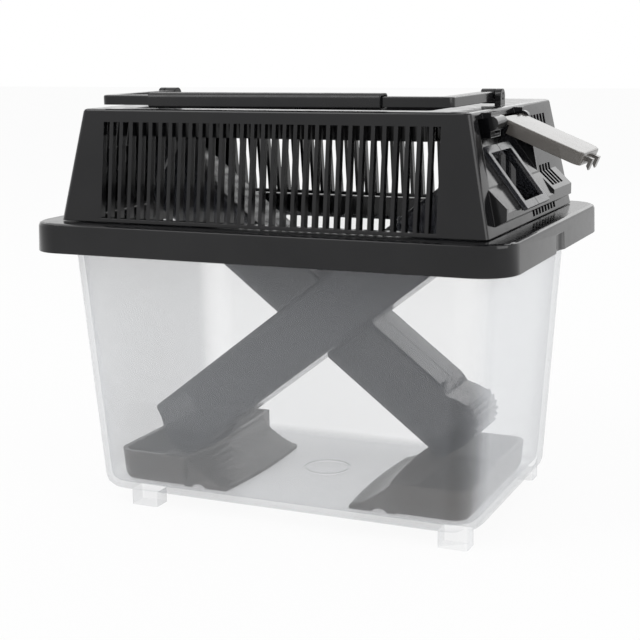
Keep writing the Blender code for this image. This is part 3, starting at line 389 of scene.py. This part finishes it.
def build_world(studio):
    """A white world that lights softly and shows as plain white."""
    world = bpy.data.worlds.new("studio")
    bpy.context.scene.world = world
    world.use_nodes = True
    tree = world.node_tree
    back = tree.nodes["Background"]
    back.inputs["Color"].default_value = (1.0, 1.0, 1.0, 1.0)
    level = new_node(tree, "ShaderNodeMapRange", (-260, 200))
    level.inputs["To Min"].default_value = studio.world_light
    level.inputs["To Max"].default_value = 1.0
    tree.links.new(white_when_seen(tree), level.inputs["Value"])
    tree.links.new(level.outputs["Result"], back.inputs["Strength"])


def area_lamp(name, place, target, size, power):
    """A square lamp that faces a point."""
    lamp = bpy.data.lights.new(name, "AREA")
    lamp.shape = "SQUARE"
    lamp.size = size
    lamp.energy = power
    made = bpy.data.objects.new(name, lamp)
    bpy.context.scene.collection.objects.link(made)
    made.location = place
    made.rotation_euler = (Vector(target) - Vector(place)).to_track_quat("-Z", "Y").to_euler()
    return made


def build_camera():
    """The camera of the photograph, from its solved place and angles."""
    ahead = Vector((-math.sin(CAMERA_YAW), math.cos(CAMERA_YAW), 0))
    right = Vector((math.cos(CAMERA_YAW), math.sin(CAMERA_YAW), 0))
    level_up = Vector((0, 0, 1))
    forward = ahead * math.cos(CAMERA_PITCH) - level_up * math.sin(CAMERA_PITCH)
    up = level_up * math.cos(CAMERA_PITCH) + ahead * math.sin(CAMERA_PITCH)
    rolled_right = right * math.cos(CAMERA_ROLL) + up * math.sin(CAMERA_ROLL)
    rolled_up = up * math.cos(CAMERA_ROLL) - right * math.sin(CAMERA_ROLL)
    lens = bpy.data.cameras.new("camera")
    lens.lens = CAMERA_LENS
    lens.sensor_width = CAMERA_SENSOR
    lens.clip_start = 0.01
    camera = bpy.data.objects.new("camera", lens)
    bpy.context.scene.collection.objects.link(camera)
    turn = Matrix((rolled_right, rolled_up, -forward)).transposed().to_4x4()
    camera.matrix_world = Matrix.Translation(CAMERA_PLACE) @ turn
    bpy.context.scene.camera = camera


class KEEPER_OT_stage(bpy.types.Operator):
    """Floor, world, lamps and the camera of the photograph"""

    bl_idname = "keeper.stage"
    bl_label = "Studio Stage"

    def execute(self, context):
        studio = context.scene.keeper_studio
        if CAD_HIGH.z <= CAD_LOW.z:
            raise RuntimeError("The frame is empty, so the stage has no size to follow")
        build_floor(studio, CAD_LOW.z)
        build_world(studio)
        middle = (CAD_LOW + CAD_HIGH) / 2
        for name, (place, size), power in (
                ("key lamp", KEY_LAMP, studio.key_power),
                ("side lamp", SIDE_LAMP, studio.side_power),
                ("back lamp", BACK_LAMP, studio.back_power)):
            area_lamp(name, place, middle, size, power)
        build_camera()
        context.scene.view_settings.view_transform = "Standard"
        return {"FINISHED"}


class KEEPER_PT_panel(bpy.types.Panel):
    """The operators and settings in the sidebar"""

    bl_label = "Cricket Keeper"
    bl_idname = "KEEPER_PT_panel"
    bl_space_type = "VIEW_3D"
    bl_region_type = "UI"
    bl_category = "Keeper"

    def draw(self, context):
        layout = self.layout
        for operator in OPERATORS:
            layout.operator(operator.bl_idname)
        for settings in (context.scene.keeper_finish, context.scene.keeper_studio):
            box = layout.box()
            for name in settings.__annotations__:
                box.prop(settings, name)


OPERATORS = (
    KEEPER_OT_clear_tub,
    KEEPER_OT_black_mouldings,
    KEEPER_OT_smoked_parts,
    KEEPER_OT_smoked_trays,
    KEEPER_OT_stage,
)
CLASSES = (KeeperFinish, KeeperStudio, *OPERATORS, KEEPER_PT_panel)


def register():
    for item in CLASSES:
        bpy.utils.register_class(item)
    bpy.types.Scene.keeper_finish = bpy.props.PointerProperty(type=KeeperFinish)
    bpy.types.Scene.keeper_studio = bpy.props.PointerProperty(type=KeeperStudio)


def unregister():
    del bpy.types.Scene.keeper_studio
    del bpy.types.Scene.keeper_finish
    for item in reversed(CLASSES):
        bpy.utils.unregister_class(item)


def main():
    register()
    bpy.ops.keeper.clear_tub()
    bpy.ops.keeper.black_mouldings()
    bpy.ops.keeper.smoked_parts()
    bpy.ops.keeper.smoked_trays()
    bpy.ops.keeper.stage()


if __name__ == "__main__":
    main()
